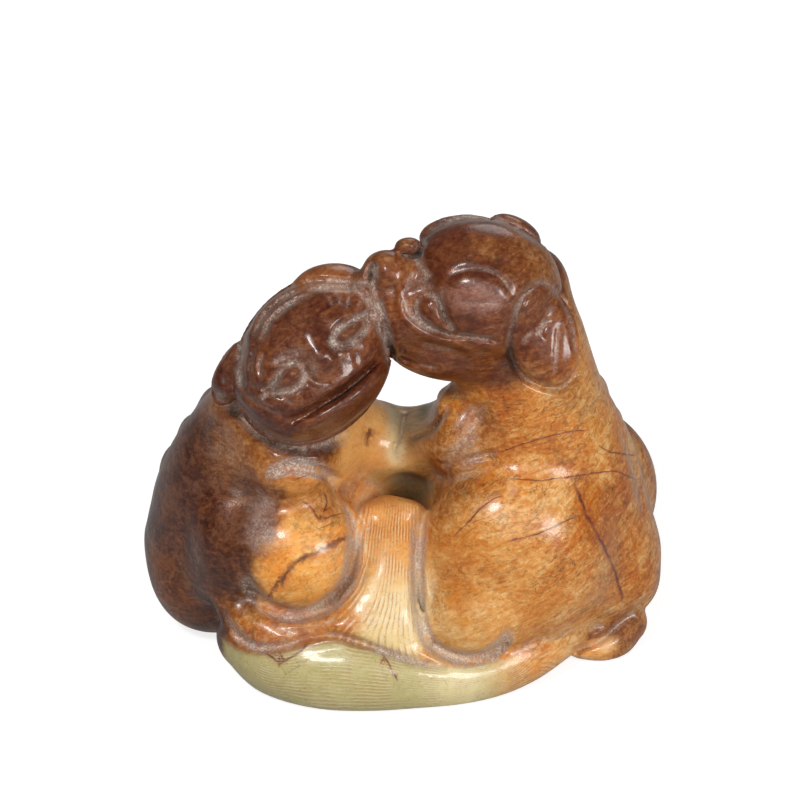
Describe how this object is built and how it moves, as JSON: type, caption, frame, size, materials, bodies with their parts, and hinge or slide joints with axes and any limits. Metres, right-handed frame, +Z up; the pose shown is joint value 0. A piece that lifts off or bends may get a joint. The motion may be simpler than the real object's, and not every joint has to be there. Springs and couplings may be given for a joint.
{
  "type": "jade lion carving",
  "caption": "Two lions carved in one piece of yellow and russet jade, curled round a small well with their heads touching.",
  "frame": {"origin": "centre of the bounding box, on the flat underside", "axes": "+X to the right along the pair, +Y away from the side the two faces are seen from, +Z up"},
  "size_m": [0.0648, 0.0412, 0.0581],
  "materials": {
    "jade": "polished, waxy"
  },
  "bodies": {
    "root": {"lion_pair": "jade"}
  },
  "joints": []
}
